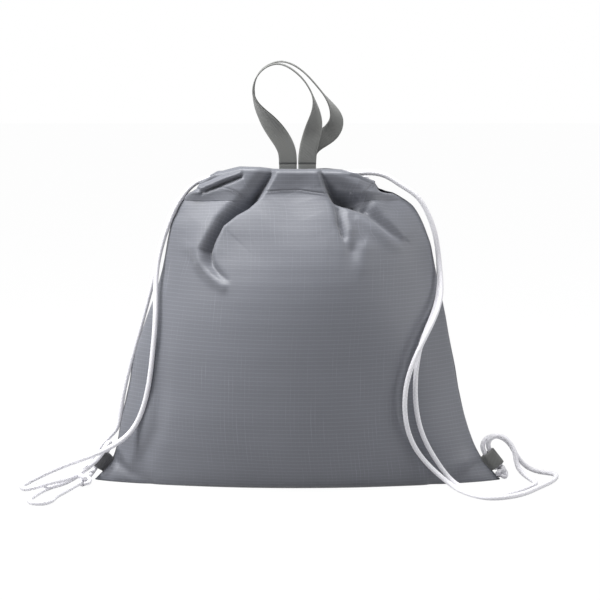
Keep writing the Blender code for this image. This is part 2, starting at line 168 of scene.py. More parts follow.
# The drawcords' free strands, each from its knot to its casing or from its casing to its knot
LEFT_FRONT_STRAND = [
    (-0.1757, -0.0282, 0.0062), (-0.1735, -0.0125, 0.0062), (-0.1694, -0.0002, 0.0108),
    (-0.1649, 0.0, 0.0172), (-0.1604, -0.0002, 0.0236), (-0.1572, -0.0035, 0.0305),
    (-0.1582, -0.0110, 0.0330), (-0.1620, -0.0175, 0.0275), (-0.1695, -0.0205, 0.0185),
    (-0.1790, -0.0255, 0.0115), (-0.1900, -0.0360, 0.0078), (-0.2060, -0.0550, 0.0072),
    (-0.2190, -0.0570, 0.0040), (-0.2270, -0.0450, 0.0024), (-0.2180, -0.0265, 0.0060),
    (-0.1970, -0.0190, 0.0145), (-0.1660, -0.0285, 0.0275), (-0.1400, -0.0205, 0.0430),
    (-0.1265, -0.0225, 0.0700), (-0.1200, -0.0235, 0.1080), (-0.1175, -0.0180, 0.1430),
    (-0.1165, -0.0050, 0.1800), (-0.1080, -0.0029, 0.2130), (-0.0955, -0.0027, 0.2390),
    (-0.0775, -0.0032, 0.2535),
]
LEFT_BACK_STRAND = [
    (-0.0775, 0.0032, 0.2535), (-0.0960, 0.0027, 0.2390), (-0.1090, 0.0026, 0.2130),
    (-0.1190, 0.0020, 0.1750), (-0.1310, 0.0010, 0.1300), (-0.1480, -0.0005, 0.0600),
    (-0.1530, 0.0005, 0.0420), (-0.1610, -0.0030, 0.0340), (-0.1685, -0.0085, 0.0240),
    (-0.1770, -0.0120, 0.0120), (-0.1870, -0.0190, 0.0045), (-0.2020, -0.0420, 0.0024),
    (-0.2130, -0.0780, 0.0023), (-0.2150, -0.0960, 0.0023), (-0.2115, -0.1060, 0.0023),
    (-0.2040, -0.1080, 0.0023), (-0.1985, -0.1020, 0.0023), (-0.1960, -0.0880, 0.0023),
    (-0.1890, -0.0600, 0.0025), (-0.1795, -0.0414, 0.0052),
]
RIGHT_FRONT_STRAND = [
    (0.1673, 0.0, 0.0101), (0.1630, 0.0, 0.0158), (0.1585, 0.0, 0.0222),
    (0.1564, 0.0010, 0.0290), (0.1600, 0.0030, 0.0345), (0.1690, 0.0032, 0.0362),
    (0.1780, 0.0055, 0.0310), (0.1855, 0.0095, 0.0195), (0.1945, 0.0150, 0.0085),
    (0.2060, 0.0195, 0.0028), (0.2165, 0.0130, 0.0023), (0.2175, -0.0060, 0.0023),
    (0.1990, -0.0460, 0.0023), (0.1770, -0.0790, 0.0023), (0.1570, -0.0880, 0.0023),
    (0.1380, -0.0680, 0.0024), (0.1240, -0.0420, 0.0065), (0.1050, -0.0385, 0.0240),
    (0.0900, -0.0460, 0.0560), (0.0910, -0.0470, 0.0930), (0.1060, -0.0395, 0.1280),
    (0.1190, -0.0175, 0.1580), (0.1185, -0.0035, 0.1850), (0.1150, -0.0028, 0.2080),
    (0.1085, -0.0027, 0.2260), (0.0995, -0.0028, 0.2395), (0.0860, -0.0030, 0.2490),
    (0.0735, -0.0034, 0.2565),
]
RIGHT_BACK_STRAND = [
    (0.0735, 0.0034, 0.2565), (0.0860, 0.0030, 0.2490), (0.0995, 0.0028, 0.2395),
    (0.1085, 0.0027, 0.2260), (0.1150, 0.0028, 0.2080),
    (0.1185, 0.0015, 0.1800), (0.1155, -0.0135, 0.1510), (0.1030, -0.0335, 0.1220),
    (0.0975, -0.0405, 0.0900), (0.1010, -0.0400, 0.0540), (0.1140, -0.0330, 0.0250),
    (0.1275, -0.0345, 0.0070), (0.1395, -0.0550, 0.0024), (0.1505, -0.0745, 0.0023),
    (0.1630, -0.0790, 0.0023), (0.1770, -0.0670, 0.0023), (0.1930, -0.0420, 0.0023),
    (0.1985, -0.0260, 0.0025), (0.1925, -0.0130, 0.0050), (0.1855, -0.0080, 0.0125),
    (0.1830, -0.0060, 0.0235), (0.1775, -0.0045, 0.0335), (0.1690, -0.0034, 0.0378),
    (0.1617, -0.0026, 0.0338), (0.1621, -0.0002, 0.0255), (0.1669, 0.0, 0.0186),
    (0.1714, 0.0, 0.0129),
]

# The handles' routes as (across, above the hinge)
FRONT_LOOP = [
    (-0.0075, 0.000), (-0.0085, 0.010), (-0.0135, 0.020), (-0.0210, 0.030), (-0.0285, 0.040),
    (-0.0345, 0.050), (-0.0362, 0.060), (-0.0330, 0.071), (-0.0250, 0.079), (-0.0150, 0.0815),
    (-0.0040, 0.077), (0.0065, 0.067), (0.0130, 0.055), (0.0152, 0.044), (0.0148, 0.034),
    (0.0120, 0.022), (0.0092, 0.010), (0.0084, 0.000),
]
BACK_LOOP = [
    (-0.0075, 0.000), (-0.0085, 0.009), (-0.0130, 0.019), (-0.0200, 0.029), (-0.0275, 0.039),
    (-0.0335, 0.049), (-0.0358, 0.060), (-0.0325, 0.072), (-0.0240, 0.080), (-0.0130, 0.0830),
    (0.0000, 0.0785), (0.0120, 0.068), (0.0220, 0.056), (0.0300, 0.044), (0.0325, 0.034),
    (0.0280, 0.0245), (0.0165, 0.0165), (0.0095, 0.0085), (0.0084, 0.000),
]


# Shader maths


class Value:
    """A node's output that takes part in arithmetic."""

    def __init__(self, graph, socket):
        self.graph = graph
        self.socket = socket

    def math(self, operation, *others):
        node = self.graph.nodes.new("ShaderNodeMath")
        node.operation = operation
        for slot, value in zip(node.inputs, (self, *others)):
            self.graph.feed(slot, value)
        return Value(self.graph, node.outputs[0])

    def __add__(self, other):
        return self.math("ADD", other)

    __radd__ = __add__

    def __sub__(self, other):
        return self.math("SUBTRACT", other)

    def __rsub__(self, other):
        return self.graph.number(other).math("SUBTRACT", self)

    def __mul__(self, other):
        return self.math("MULTIPLY", other)

    def __truediv__(self, other):
        return self.math("DIVIDE", other)

    def smooth(self, low, high):
        """0 below low, 1 above high, and an S curve between them."""
        node = self.graph.make(
            "ShaderNodeMapRange", {"interpolation_type": "SMOOTHSTEP"},
            {"Value": self, "From Min": low, "From Max": high},
        )
        return node["Result"]


class Outputs:
    """A node's outputs by name."""

    def __init__(self, graph, node):
        self.graph = graph
        self.node = node

    def __getitem__(self, name):
        return Value(self.graph, self.node.outputs[name])


class Graph:
    """The node tree of one material or of the world."""

    def __init__(self, tree):
        self.tree = tree
        self.nodes = tree.nodes
        self.nodes.clear()

    def feed(self, socket, value):
        if isinstance(value, Value):
            self.tree.links.new(value.socket, socket)
        else:
            socket.default_value = value

    def number(self, value):
        return self.make("ShaderNodeValue", {}, {}, output=value)["Value"]

    def make(self, kind, settings, sockets, output=None):
        """Adds a node with its settings, then the values or links of its sockets."""
        node = self.nodes.new(kind)
        for name, value in settings.items():
            setattr(node, name, value)
        for name, value in sockets.items():
            self.feed(node.inputs[name], value)
        if output is not None:
            node.outputs[0].default_value = output
        return Outputs(self, node)

    def mix(self, factor, first, second):
        """A colour between two colours."""
        node = self.nodes.new("ShaderNodeMix")
        node.data_type = "RGBA"
        self.feed(node.inputs["Factor"], factor)
        self.feed(node.inputs[6], first)
        self.feed(node.inputs[7], second)
        return Value(self, node.outputs[2])

    def noise(self, vector, scale, detail, roughness):
        return self.make(
            "ShaderNodeTexNoise", {"noise_dimensions": "3D"},
            {"Vector": vector, "Scale": scale, "Detail": detail, "Roughness": roughness},
        )["Fac"]

    def place(self):
        return self.make("ShaderNodeTexCoord", {}, {})["Object"]

    def weave(self):
        """The weave coordinates whole, and their two parts."""
        whole = self.make("ShaderNodeUVMap", {"uv_map": "weave"}, {})["UV"]
        split = self.make("ShaderNodeSeparateXYZ", {}, {"Vector": whole})
        return whole, split["X"], split["Y"]

    def bump(self, strength, distance, height):
        sockets = {"Strength": strength, "Distance": distance, "Height": height}
        return self.make("ShaderNodeBump", {}, sockets)["Normal"]

    def surface(self, shader):
        self.make("ShaderNodeOutputMaterial", {}, {"Surface": shader})

    def principled(self, sockets):
        self.surface(self.make("ShaderNodeBsdfPrincipled", {}, sockets)["BSDF"])


def new_finish(name):
    made = bpy.data.materials.new(name)
    made.use_nodes = True
    return made, Graph(made.node_tree)


def thread_lines(coordinate, spacing, width):
    """1 on a thread that repeats at this spacing, and 0 between threads."""
    share = (coordinate / spacing).math("FRACT")
    off = (share - 0.5).math("ABSOLUTE")
    return 1 - off.smooth(0.0, width)


def cloth_finish(name, colour, lit, streak=1.0):
    """Satin ripstop: a close plain weave with heavier threads in a small square grid."""
    made, graph = new_finish(name)
    weave, across, up = graph.weave()
    place = graph.place()
    uneven = graph.noise(weave, 240.0, 3.0, 0.6)
    wander = (uneven - 0.5) * 0.0009
    columns = thread_lines(across + wander, THREAD_SPACING, 0.13)
    rows = thread_lines(up + wander, THREAD_SPACING, 0.15)
    stretched = graph.make(
        "ShaderNodeVectorMath", {"operation": "MULTIPLY"},
        {0: weave, 1: (900.0, 24.0, 1.0)},
    )["Vector"]
    streaks = graph.noise(stretched, 1.0, 2.0, 0.5).smooth(0.46, 0.74)
    patchy = graph.noise(place, 26.0, 3.0, 0.55).smooth(0.36, 0.68)
    broad = graph.noise(place, 9.0, 2.0, 0.5)
    fine = thread_lines(across, 0.0007, 0.5) * thread_lines(up, 0.0007, 0.5)
    grid = columns * (0.15 + streaks * 0.85 * streak) * (0.25 + patchy * 0.75) + rows * 0.50
    light = grid.math("MINIMUM", 1.0) * 0.42
    darker = tuple(c * 0.86 for c in colour[:3]) + (1,)
    tone = graph.mix(broad.smooth(0.34, 0.66) * 0.5, colour, darker)
    tinted = graph.mix(light, tone, lit)
    rough = 0.47 + fine * 0.05 - rows * 0.05 + patchy * 0.04
    relief = grid * 0.6 + fine * 0.35 + uneven * 0.3
    graph.principled(
        {
            "Base Color": tinted, "Roughness": rough, "Normal": graph.bump(0.32, 0.00018, relief),
            "Sheen Weight": 0.25, "Sheen Roughness": 0.45, "Specular IOR Level": 0.5,
        }
    )
    return made


def webbing_finish(name, colour, edge):
    """Woven tape with fine ribs across it, and a painted highlight along both edges."""
    made, graph = new_finish(name)
    weave, across, along = graph.weave()
    twill = thread_lines(along + across * 0.55, 0.0013, 0.42)
    warp = thread_lines(across, 0.0011, 0.40)
    worn = graph.noise(weave, 420.0, 3.0, 0.6)
    # Painted highlight: near both edges the tape is mixed towards the paler colour, which also lightens the
    # twill threads and worn spots.
    edge_highlight = (across.math("ABSOLUTE")).smooth(WEBBING_WIDTH * 0.40, WEBBING_WIDTH * 0.47)
    tone = graph.mix(twill * 0.35 + worn * 0.30, colour, edge)
    tone = graph.mix(edge_highlight * 0.35, tone, edge)
    relief = twill * 0.55 + warp * 0.35 + worn * 0.25
    graph.principled(
        {
            "Base Color": tone, "Roughness": 0.62 + worn * 0.2,
            "Normal": graph.bump(0.55, 0.0003, relief),
            "Sheen Weight": 0.25, "Sheen Roughness": 0.5, "Specular IOR Level": 0.35,
        }
    )
    return made


def cord_finish(name, colour, shade):
    """Soft white braid, with painted shade in the grooves between its strands."""
    made, graph = new_finish(name)
    _, around, along = graph.weave()
    one = thread_lines(along / BRAID_PITCH + around * 2.0, 0.5, 0.42)
    other = thread_lines(along / BRAID_PITCH - around * 2.0, 0.5, 0.42)
    strands = one.math("MAXIMUM", other)
    fuzz = graph.noise(graph.place(), 1500.0, 3.0, 0.6)
    # Painted shade: between the strands the braid takes the darker colour.
    tone = graph.mix(strands * 0.7 + fuzz * 0.3, shade, colour)
    graph.principled(
        {
            "Base Color": tone, "Roughness": 0.7 + fuzz * 0.15,
            "Normal": graph.bump(0.4, 0.00025, strands + fuzz * 0.4),
            "Sheen Weight": 0.15, "Specular IOR Level": 0.3,
        }
    )
    return made


def thread_finish(name, colour, shade):
    """Twisted sewing thread."""
    made, graph = new_finish(name)
    twist_marks = graph.noise(graph.place(), 2600.0, 2.0, 0.5)
    tone = graph.mix(twist_marks, shade, colour)
    bump = graph.bump(0.4, 0.0001, twist_marks)
    graph.principled({"Base Color": tone, "Roughness": 0.5 + twist_marks * 0.2, "Normal": bump})
    return made


# Camera, floor and light


def make_camera():
    data = bpy.data.cameras.new("view")
    data.lens = LENS
    data.sensor_width = SENSOR_WIDTH
    data.clip_start = 0.05
    data.clip_end = 20.0
    camera = bpy.data.objects.new("view", data)
    bpy.context.scene.collection.objects.link(camera)
    camera.location = VIEW_POINT
    aim = Vector(AIM_POINT) - camera.location
    camera.rotation_euler = aim.to_track_quat("-Z", "Y").to_euler()
    bpy.context.scene.camera = camera


def shown_white(graph, lit, strength):
    """Adds plain white for what the camera or a reflection sees directly."""
    path = graph.make("ShaderNodeLightPath", {}, {})
    seen = path["Is Camera Ray"].math("MAXIMUM", path["Is Glossy Ray"])
    seen = seen.math("MAXIMUM", path["Is Transmission Ray"])
    white = graph.make("ShaderNodeEmission", {}, {"Color": (1, 1, 1, 1), "Strength": 1.05})["Emission"]
    return graph.make(
        "ShaderNodeMixShader", {}, {0: seen * strength, 1: lit, 2: white}
    )["Shader"]


def make_stage():
    mesh = bpy.data.meshes.new("floor")
    corners = [(x * FLOOR_REACH, y * FLOOR_REACH, 0) for x, y in ((-1, -1), (1, -1), (1, 1), (-1, 1))]
    mesh.from_pydata(corners, [], [(0, 1, 2, 3)])
    floor = bpy.data.objects.new("floor", mesh)
    bpy.context.scene.collection.objects.link(floor)
    made, graph = new_finish("paper_floor")
    lit = graph.make("ShaderNodeBsdfDiffuse", {}, {"Color": (0.46, 0.46, 0.47, 1)})["BSDF"]
    graph.surface(shown_white(graph, lit, 0.93))
    mesh.materials.append(made)
    world = bpy.data.worlds.new("studio")
    world.use_nodes = True
    bpy.context.scene.world = world
    graph = Graph(world.node_tree)
    path = graph.make("ShaderNodeLightPath", {}, {})
    seen = path["Is Camera Ray"].math("MAXIMUM", path["Is Transmission Ray"])
    back = graph.make(
        "ShaderNodeBackground", {}, {"Color": (1, 1, 1, 1), "Strength": seen * 0.80 + 0.20}
    )
    graph.make("ShaderNodeOutputWorld", {}, {"Surface": back["Background"]})


def make_lamp(name, place, aim, size, power):
    data = bpy.data.lights.new(name, "AREA")
    data.shape = "RECTANGLE"
    data.size, data.size_y = size
    data.energy = power
    lamp = bpy.data.objects.new(name, data)
    bpy.context.scene.collection.objects.link(lamp)
    lamp.location = place
    lamp.rotation_euler = (Vector(aim) - Vector(place)).to_track_quat("-Z", "Y").to_euler()


bpy.context.scene.view_settings.view_transform = "Standard"
make_camera()
make_stage()
make_lamp("overhead", (-0.20, -0.15, 1.5), (0, 0, 0.18), (0.7, 0.5), 21.0)
make_lamp("left_softbox", (-1.0, -0.35, 1.1), (0, 0, 0.20), (0.6, 0.6), 18.0)
make_lamp("right_softbox", (1.5, -0.30, 0.6), (0, 0, 0.17), (0.7, 1.0), 8.0)


# Meshes


def new_piece(name, mesh, material):
    obj = bpy.data.objects.new(name, mesh)
    bpy.context.scene.collection.objects.link(obj)
    mesh.materials.append(material)
    return obj


def grid_faces(rows, columns, closed, first=0):
    """The faces of a grid whose points are numbered row by row from the first."""
    faces = []
    for i in range(rows - 1):
        low, high = first + i * columns, first + (i + 1) * columns
        for j in range(columns if closed else columns - 1):
            k = (j + 1) % columns
            faces.append((low + j, low + k, high + k, high + j))
    return faces


def grid_mesh(name, points, weave, closed=False):
    """A sheet or tube from rows of points, with its weave coordinates in metres."""
    rows, columns = points.shape[:2]
    corners = grid_faces(rows, columns, closed)
    mesh = bpy.data.meshes.new(name)
    mesh.from_pydata(points.reshape(-1, 3).tolist(), [], corners)
    layer = mesh.uv_layers.new(name="weave")
    coordinates = weave.reshape(-1, 2)[np.array(corners)]
    if closed:
        wrapped = np.arange(len(corners)) % columns == columns - 1
        turn = weave[0, 0, 0] + 1.0
        coordinates[wrapped, 1, 0] = turn
        coordinates[wrapped, 2, 0] = turn
    layer.data.foreach_set("uv", coordinates.reshape(-1).astype(np.float32))
    mesh.polygons.foreach_set("use_smooth", np.ones(len(corners), bool))
    mesh.update()
    return mesh


def lengths_along(points):
    steps = np.linalg.norm(np.diff(points, axis=0), axis=1)
    return np.concatenate([[0.0], np.cumsum(steps)])


def smooth_route(points, step):
    """Samples a natural cubic curve through the points, evenly spaced."""
    route = np.array(points, float)
    spans = np.linalg.norm(np.diff(route, axis=0), axis=1)
    slopes = np.diff(route, axis=0) / spans[:, None]
    count = len(route)
    system = np.eye(count)
    target = np.zeros((count, 3))
    for i in range(1, count - 1):
        system[i, i - 1 : i + 2] = (spans[i - 1], 2 * (spans[i - 1] + spans[i]), spans[i])
        target[i] = 6 * (slopes[i] - slopes[i - 1])
    bends = np.linalg.solve(system, target)
    samples = []
    for i, span in enumerate(spans):
        for t in span * np.arange(24) / 24:
            back = span - t
            curve = (bends[i] * back**3 + bends[i + 1] * t**3) / (6 * span)
            start = (route[i] / span - bends[i] * span / 6) * back
            end = (route[i + 1] / span - bends[i + 1] * span / 6) * t
            samples.append(curve + start + end)
    samples.append(route[-1])
    samples = np.array(samples)
    along = lengths_along(samples)
    wanted = np.linspace(0, along[-1], max(2, round(along[-1] / step) + 1))
    return np.stack([np.interp(wanted, along, samples[:, k]) for k in range(3)], axis=1)


def carried_frames(path):
    """A direction across the path at each point that turns as little as it can."""
    tangents = np.gradient(path, axis=0)
    tangents /= np.linalg.norm(tangents, axis=1)[:, None]
    first = np.cross(tangents[0], (0.3, 0.5, 0.81))
    across = [first / np.linalg.norm(first)]
    for tangent in tangents[1:]:
        kept = across[-1] - tangent * np.dot(across[-1], tangent)
        across.append(kept / np.linalg.norm(kept))
    across = np.array(across)
    return across, np.cross(tangents, across)


def tube_mesh(name, path, radius, sides, closed_path=False):
    """A round tube with a low braid relief, and with rounded ends unless its path is closed."""
    across, other = carried_frames(path)
    along = lengths_along(path)
    turns = np.linspace(0, 1, sides, endpoint=False)
    angle = 2 * np.pi * turns
    phase = 2 * np.pi * along[:, None] / BRAID_PITCH
    wave = BRAID_RELIEF * np.cos(phase + 4 * angle) * np.cos(phase - 4 * angle)
    reach = np.full((len(path), 1), radius) + wave
    ring = np.cos(angle)[None, :, None] * across[:, None, :]
    ring = ring + np.sin(angle)[None, :, None] * other[:, None, :]
    points = path[:, None, :] + reach[..., None] * ring
    if not closed_path:
        ends = []
        for index, direction in ((0, path[0] - path[1]), (-1, path[-1] - path[-2])):
            out = direction / np.linalg.norm(direction) * radius
            ends.append(
                [
                    path[index] + out * math.sin(a) + ring[index] * radius * math.cos(a)
                    for a in np.radians([88, 60, 30])
                ]
            )
        start = np.array(ends[0])
        stop = np.array(ends[1])[::-1]
        points = np.concatenate([start, points, stop])
        along = np.concatenate([[along[0]] * 3, along, [along[-1]] * 3])
    weave = np.stack(np.broadcast_arrays(turns[None, :], along[:, None]), axis=2).copy()
    return grid_mesh(name, points, weave, closed=True)


# Drawcords


def tunnel_centre(x):
    """How far the tunnel's middle lies from the mouth's plane, at one place along the mouth."""
    return TUNNEL_MIDDLE - TUNNEL_BOW * (x / TURN_X) ** 2


def casing_run(side, height):
    """The cord's route through the front casing, round the far end and back through the other casing."""
    xs = [CASING_END, TURN_X, TURN_X * 2 / 3, TURN_X / 3, 0.0, -TURN_X / 3, -TURN_X * 2 / 3]
    front = [(side * x, -tunnel_centre(x), height) for x in xs]
    back = [(side * x, tunnel_centre(x), height) for x in reversed(xs)]
    turn = []
    for step in range(5):
        angle = math.radians(-90 + 45 * step)
        x = TURN_X + TURN_RADIUS * math.cos(angle)
        turn.append((-side * x, TURN_RADIUS * math.sin(angle), height))
    return front + turn + back


def make_cord(name, front, back, side, height):
    """One drawcord in two lengths that meet at the far end of the mouth."""
    path = smooth_route(front + casing_run(side, height) + back, CORD_STEP)
    far = -side * (TURN_X + TURN_RADIUS)
    middle = int(np.argmin(np.linalg.norm(path - np.array([far, 0.0, height]), axis=1)))
    halves = []
    for part, points, lip, away in (
        ("front", path[: middle + 1], "front_lip", -1),
        ("back", path[middle:][::-1], "back_lip", 1),
    ):
        mesh = tube_mesh(f"{name}_{part}_strand", points, CORD_DIAMETER / 2, CORD_SIDES)
        strand = new_piece(f"{name}_{part}_strand", mesh, CORD_WHITE)
        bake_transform(strand)
        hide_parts(name)
        halves.append((strand, points, float(lengths_along(points)[-1])))
    return halves


def knot_path(size, turn):
    """A trefoil, which is an overhand knot drawn tight, fitted to the size."""
    t = np.linspace(0, 2 * np.pi, KNOT_POINTS)
    raw = np.stack(
        [np.sin(t) + 2 * np.sin(2 * t), np.cos(t) - 2 * np.cos(2 * t), -np.sin(3 * t)], axis=1
    )
    raw /= np.abs(raw).max(axis=0)
    half = (np.array(size) - CORD_DIAMETER) / 2
    spun = Matrix.Rotation(turn, 3, "Y")
    points = raw * half[[0, 2, 1]]
    points = points[:, [0, 2, 1]]
    return np.array([spun @ Vector(p) for p in points]) * KNOT_SHARE


def make_knot(name, centre, size, turn):
    path = knot_path(size, turn) + np.array(centre)
    radius = CORD_DIAMETER / 2 * KNOT_SHARE
    mesh = tube_mesh(name + "_tied", path, radius, KNOT_SIDES, closed_path=True)
    knot = new_piece(name + "_tied", mesh, CORD_WHITE)
    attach(knot, "bag")
    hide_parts(name)
    return knot


CORD_WHITE = cord_finish("white_braid", (0.90, 0.895, 0.925, 1), (0.80, 0.795, 0.84, 1))
left_knot = make_knot("left_cord_knot", LEFT_KNOT_CENTRE, KNOT_SIZE, 0.5)
right_knot = make_knot("right_cord_knot", RIGHT_KNOT_CENTRE, KNOT_SIZE, 1.1)
for name, strands, side, height, knot in (
    ("left_cord", (LEFT_FRONT_STRAND, LEFT_BACK_STRAND), -1, LEFT_CORD_HEIGHT, left_knot),
    ("right_cord", (RIGHT_FRONT_STRAND, RIGHT_BACK_STRAND), 1, RIGHT_CORD_HEIGHT, right_knot),
):
    for n, (strand, points, length) in enumerate(make_cord(name, *strands, side, height)):
        [knot] if n == 0 else []


# Cloth


def profile(stations, heights):
    """Reads a value at each height from (height, value) stations, with the corners eased."""
    table = np.array(stations)
    fine = np.linspace(table[0, 0], table[-1, 0], 600)
    values = np.interp(fine, table[:, 0], table[:, 1])
    before = 2 * values[0] - values[7:0:-1]
    after = 2 * values[-1] - values[-2:-9:-1]
    padded = np.concatenate([before, values, after])
    eased = np.convolve(padded, np.ones(15) / 15, mode="valid")
    return np.interp(heights, fine, eased)


# The outline and the depth by height: (height in metres, place in millimetres)
LEFT_EDGE = [
    (0.0, -170), (0.005, -165), (0.012, -158.5), (0.020, -154), (0.030, -151), (0.043, -149),
    (0.057, -146.4), (0.070, -143), (0.084, -139.5), (0.0975, -137.6), (0.111, -134.5),
    (0.1246, -130), (0.138, -125.5), (0.152, -120.5), (0.165, -116), (0.178, -112),
    (0.199, -107), (0.212, -103.5), (0.219, -101.5), (0.225, -98.5), (0.232, -96),
    (0.239, -92), (0.2415, -89.5), (0.2455, -86), (0.250, -83), (0.2645, -79),
]
RIGHT_EDGE = [
    (0.0, 171), (0.005, 166), (0.012, 160), (0.020, 153.5), (0.030, 148.5), (0.043, 144),
    (0.057, 139.6), (0.070, 136), (0.084, 133.5), (0.0975, 131.5), (0.111, 129),
    (0.1246, 126.5), (0.138, 124), (0.152, 121), (0.165, 118), (0.178, 115), (0.199, 110.5),
    (0.212, 105.5), (0.219, 102.5), (0.225, 99.5), (0.232, 94.5), (0.239, 84.5),
    (0.2415, 79), (0.2455, 71), (0.250, 66), (0.2645, 62),
]
DEPTH = [
    (0.0, 40), (0.005, 43.5), (0.010, 47), (0.020, 52), (0.036, 57.5), (0.062, 62), (0.089, 65),
    (0.115, 66), (0.141, 65.5), (0.158, 64), (0.172, 61.5), (0.186, 57), (0.200, 50.5), (0.213, 43),
    (0.224, 35), (0.233, 27.5), (0.2415, 21), (0.248, 18.8), (0.2645, 17.8),
]


def side_rows():
    """The rows of one panel from the base seam to the mouth's edge, each as its kind and what places it:
    a share of the depth on the base, an angle round the base's corner, or a height."""
    flat = [("flat", share) for share in np.linspace(0.0, 1.0, BASE_ROWS)[:-1]]
    corner = [("corner", angle) for angle in np.radians(np.linspace(0, 80, CORNER_ROWS))]
    heights = np.concatenate(
        [
            np.linspace(BASE_CORNER, SHOULDER_HEIGHT, WALL_ROWS)[1:],
            np.linspace(SHOULDER_HEIGHT, HINGE_HEIGHT, SHOULDER_ROWS)[1:],
            np.linspace(HINGE_HEIGHT, CASING_TOP, CASING_ROWS)[1:],
        ]
    )
    return flat + corner + [("outer", height) for height in heights]


def nearest_on(flat, line):
    """Each point's distance from the line, whether it lies to the line's left, and the line's other
    values there."""
    stations = np.array(line, float)
    best = np.full(flat.shape[:2], 1e9)
    left = np.zeros(flat.shape[:2], bool)
    values = [np.zeros(flat.shape[:2]) for _ in range(stations.shape[1] - 2)]
    for a, b in zip(stations, stations[1:]):
        run = b[:2] - a[:2]
        share = np.clip(((flat - a[:2]) @ run) / (run @ run), 0, 1)
        off = flat - (a[:2] + share[..., None] * run)
        distance = np.hypot(off[..., 0], off[..., 1])
        closer = distance < best
        best = np.where(closer, distance, best)
        left = np.where(closer, run[0] * off[..., 1] > run[1] * off[..., 0], left)
        for n, value in enumerate(values):
            here = a[n + 2] + share * (b[n + 2] - a[n + 2])
            values[n] = np.where(closer, here, value)
    return best, left, values


def folded(surface, normals, folds):
    """Raises or sinks the surface along fold lines. Each fold is a list of stations:
    (x, z, height, reach on the left when going down, reach on the right), in millimetres."""
    flat = surface[..., [0, 2]] / MM
    lift = np.zeros(surface.shape[:2])
    for fold in folds:
        distance, left, (height, near, far) = nearest_on(flat, fold)
        reach = np.where(left, far, near)
        lift += height * np.exp(-((distance / reach) ** 2))
    return surface + normals * (lift * MM)[..., None]


def grid_normals(points):
    down = np.gradient(points, axis=0)
    across = np.gradient(points, axis=1)
    normal = np.cross(across, down)
    size = np.linalg.norm(normal, axis=2)
    return normal / np.maximum(size, 1e-12)[..., None]


def softened(points, rounds):
    """Evens the rows and columns a little. Of the borders only the top row is evened, along itself."""
    for _ in range(rounds):
        inner = points[1:-1, 1:-1]
        around = points[:-2, 1:-1] + points[2:, 1:-1] + points[1:-1, :-2] + points[1:-1, 2:]
        points = points.copy()
        points[1:-1, 1:-1] = inner * 0.5 + around * 0.125
        points[-1, 1:-1] = points[-1, 1:-1] * 0.5 + (points[-1, :-2] + points[-1, 2:]) * 0.25
    return points


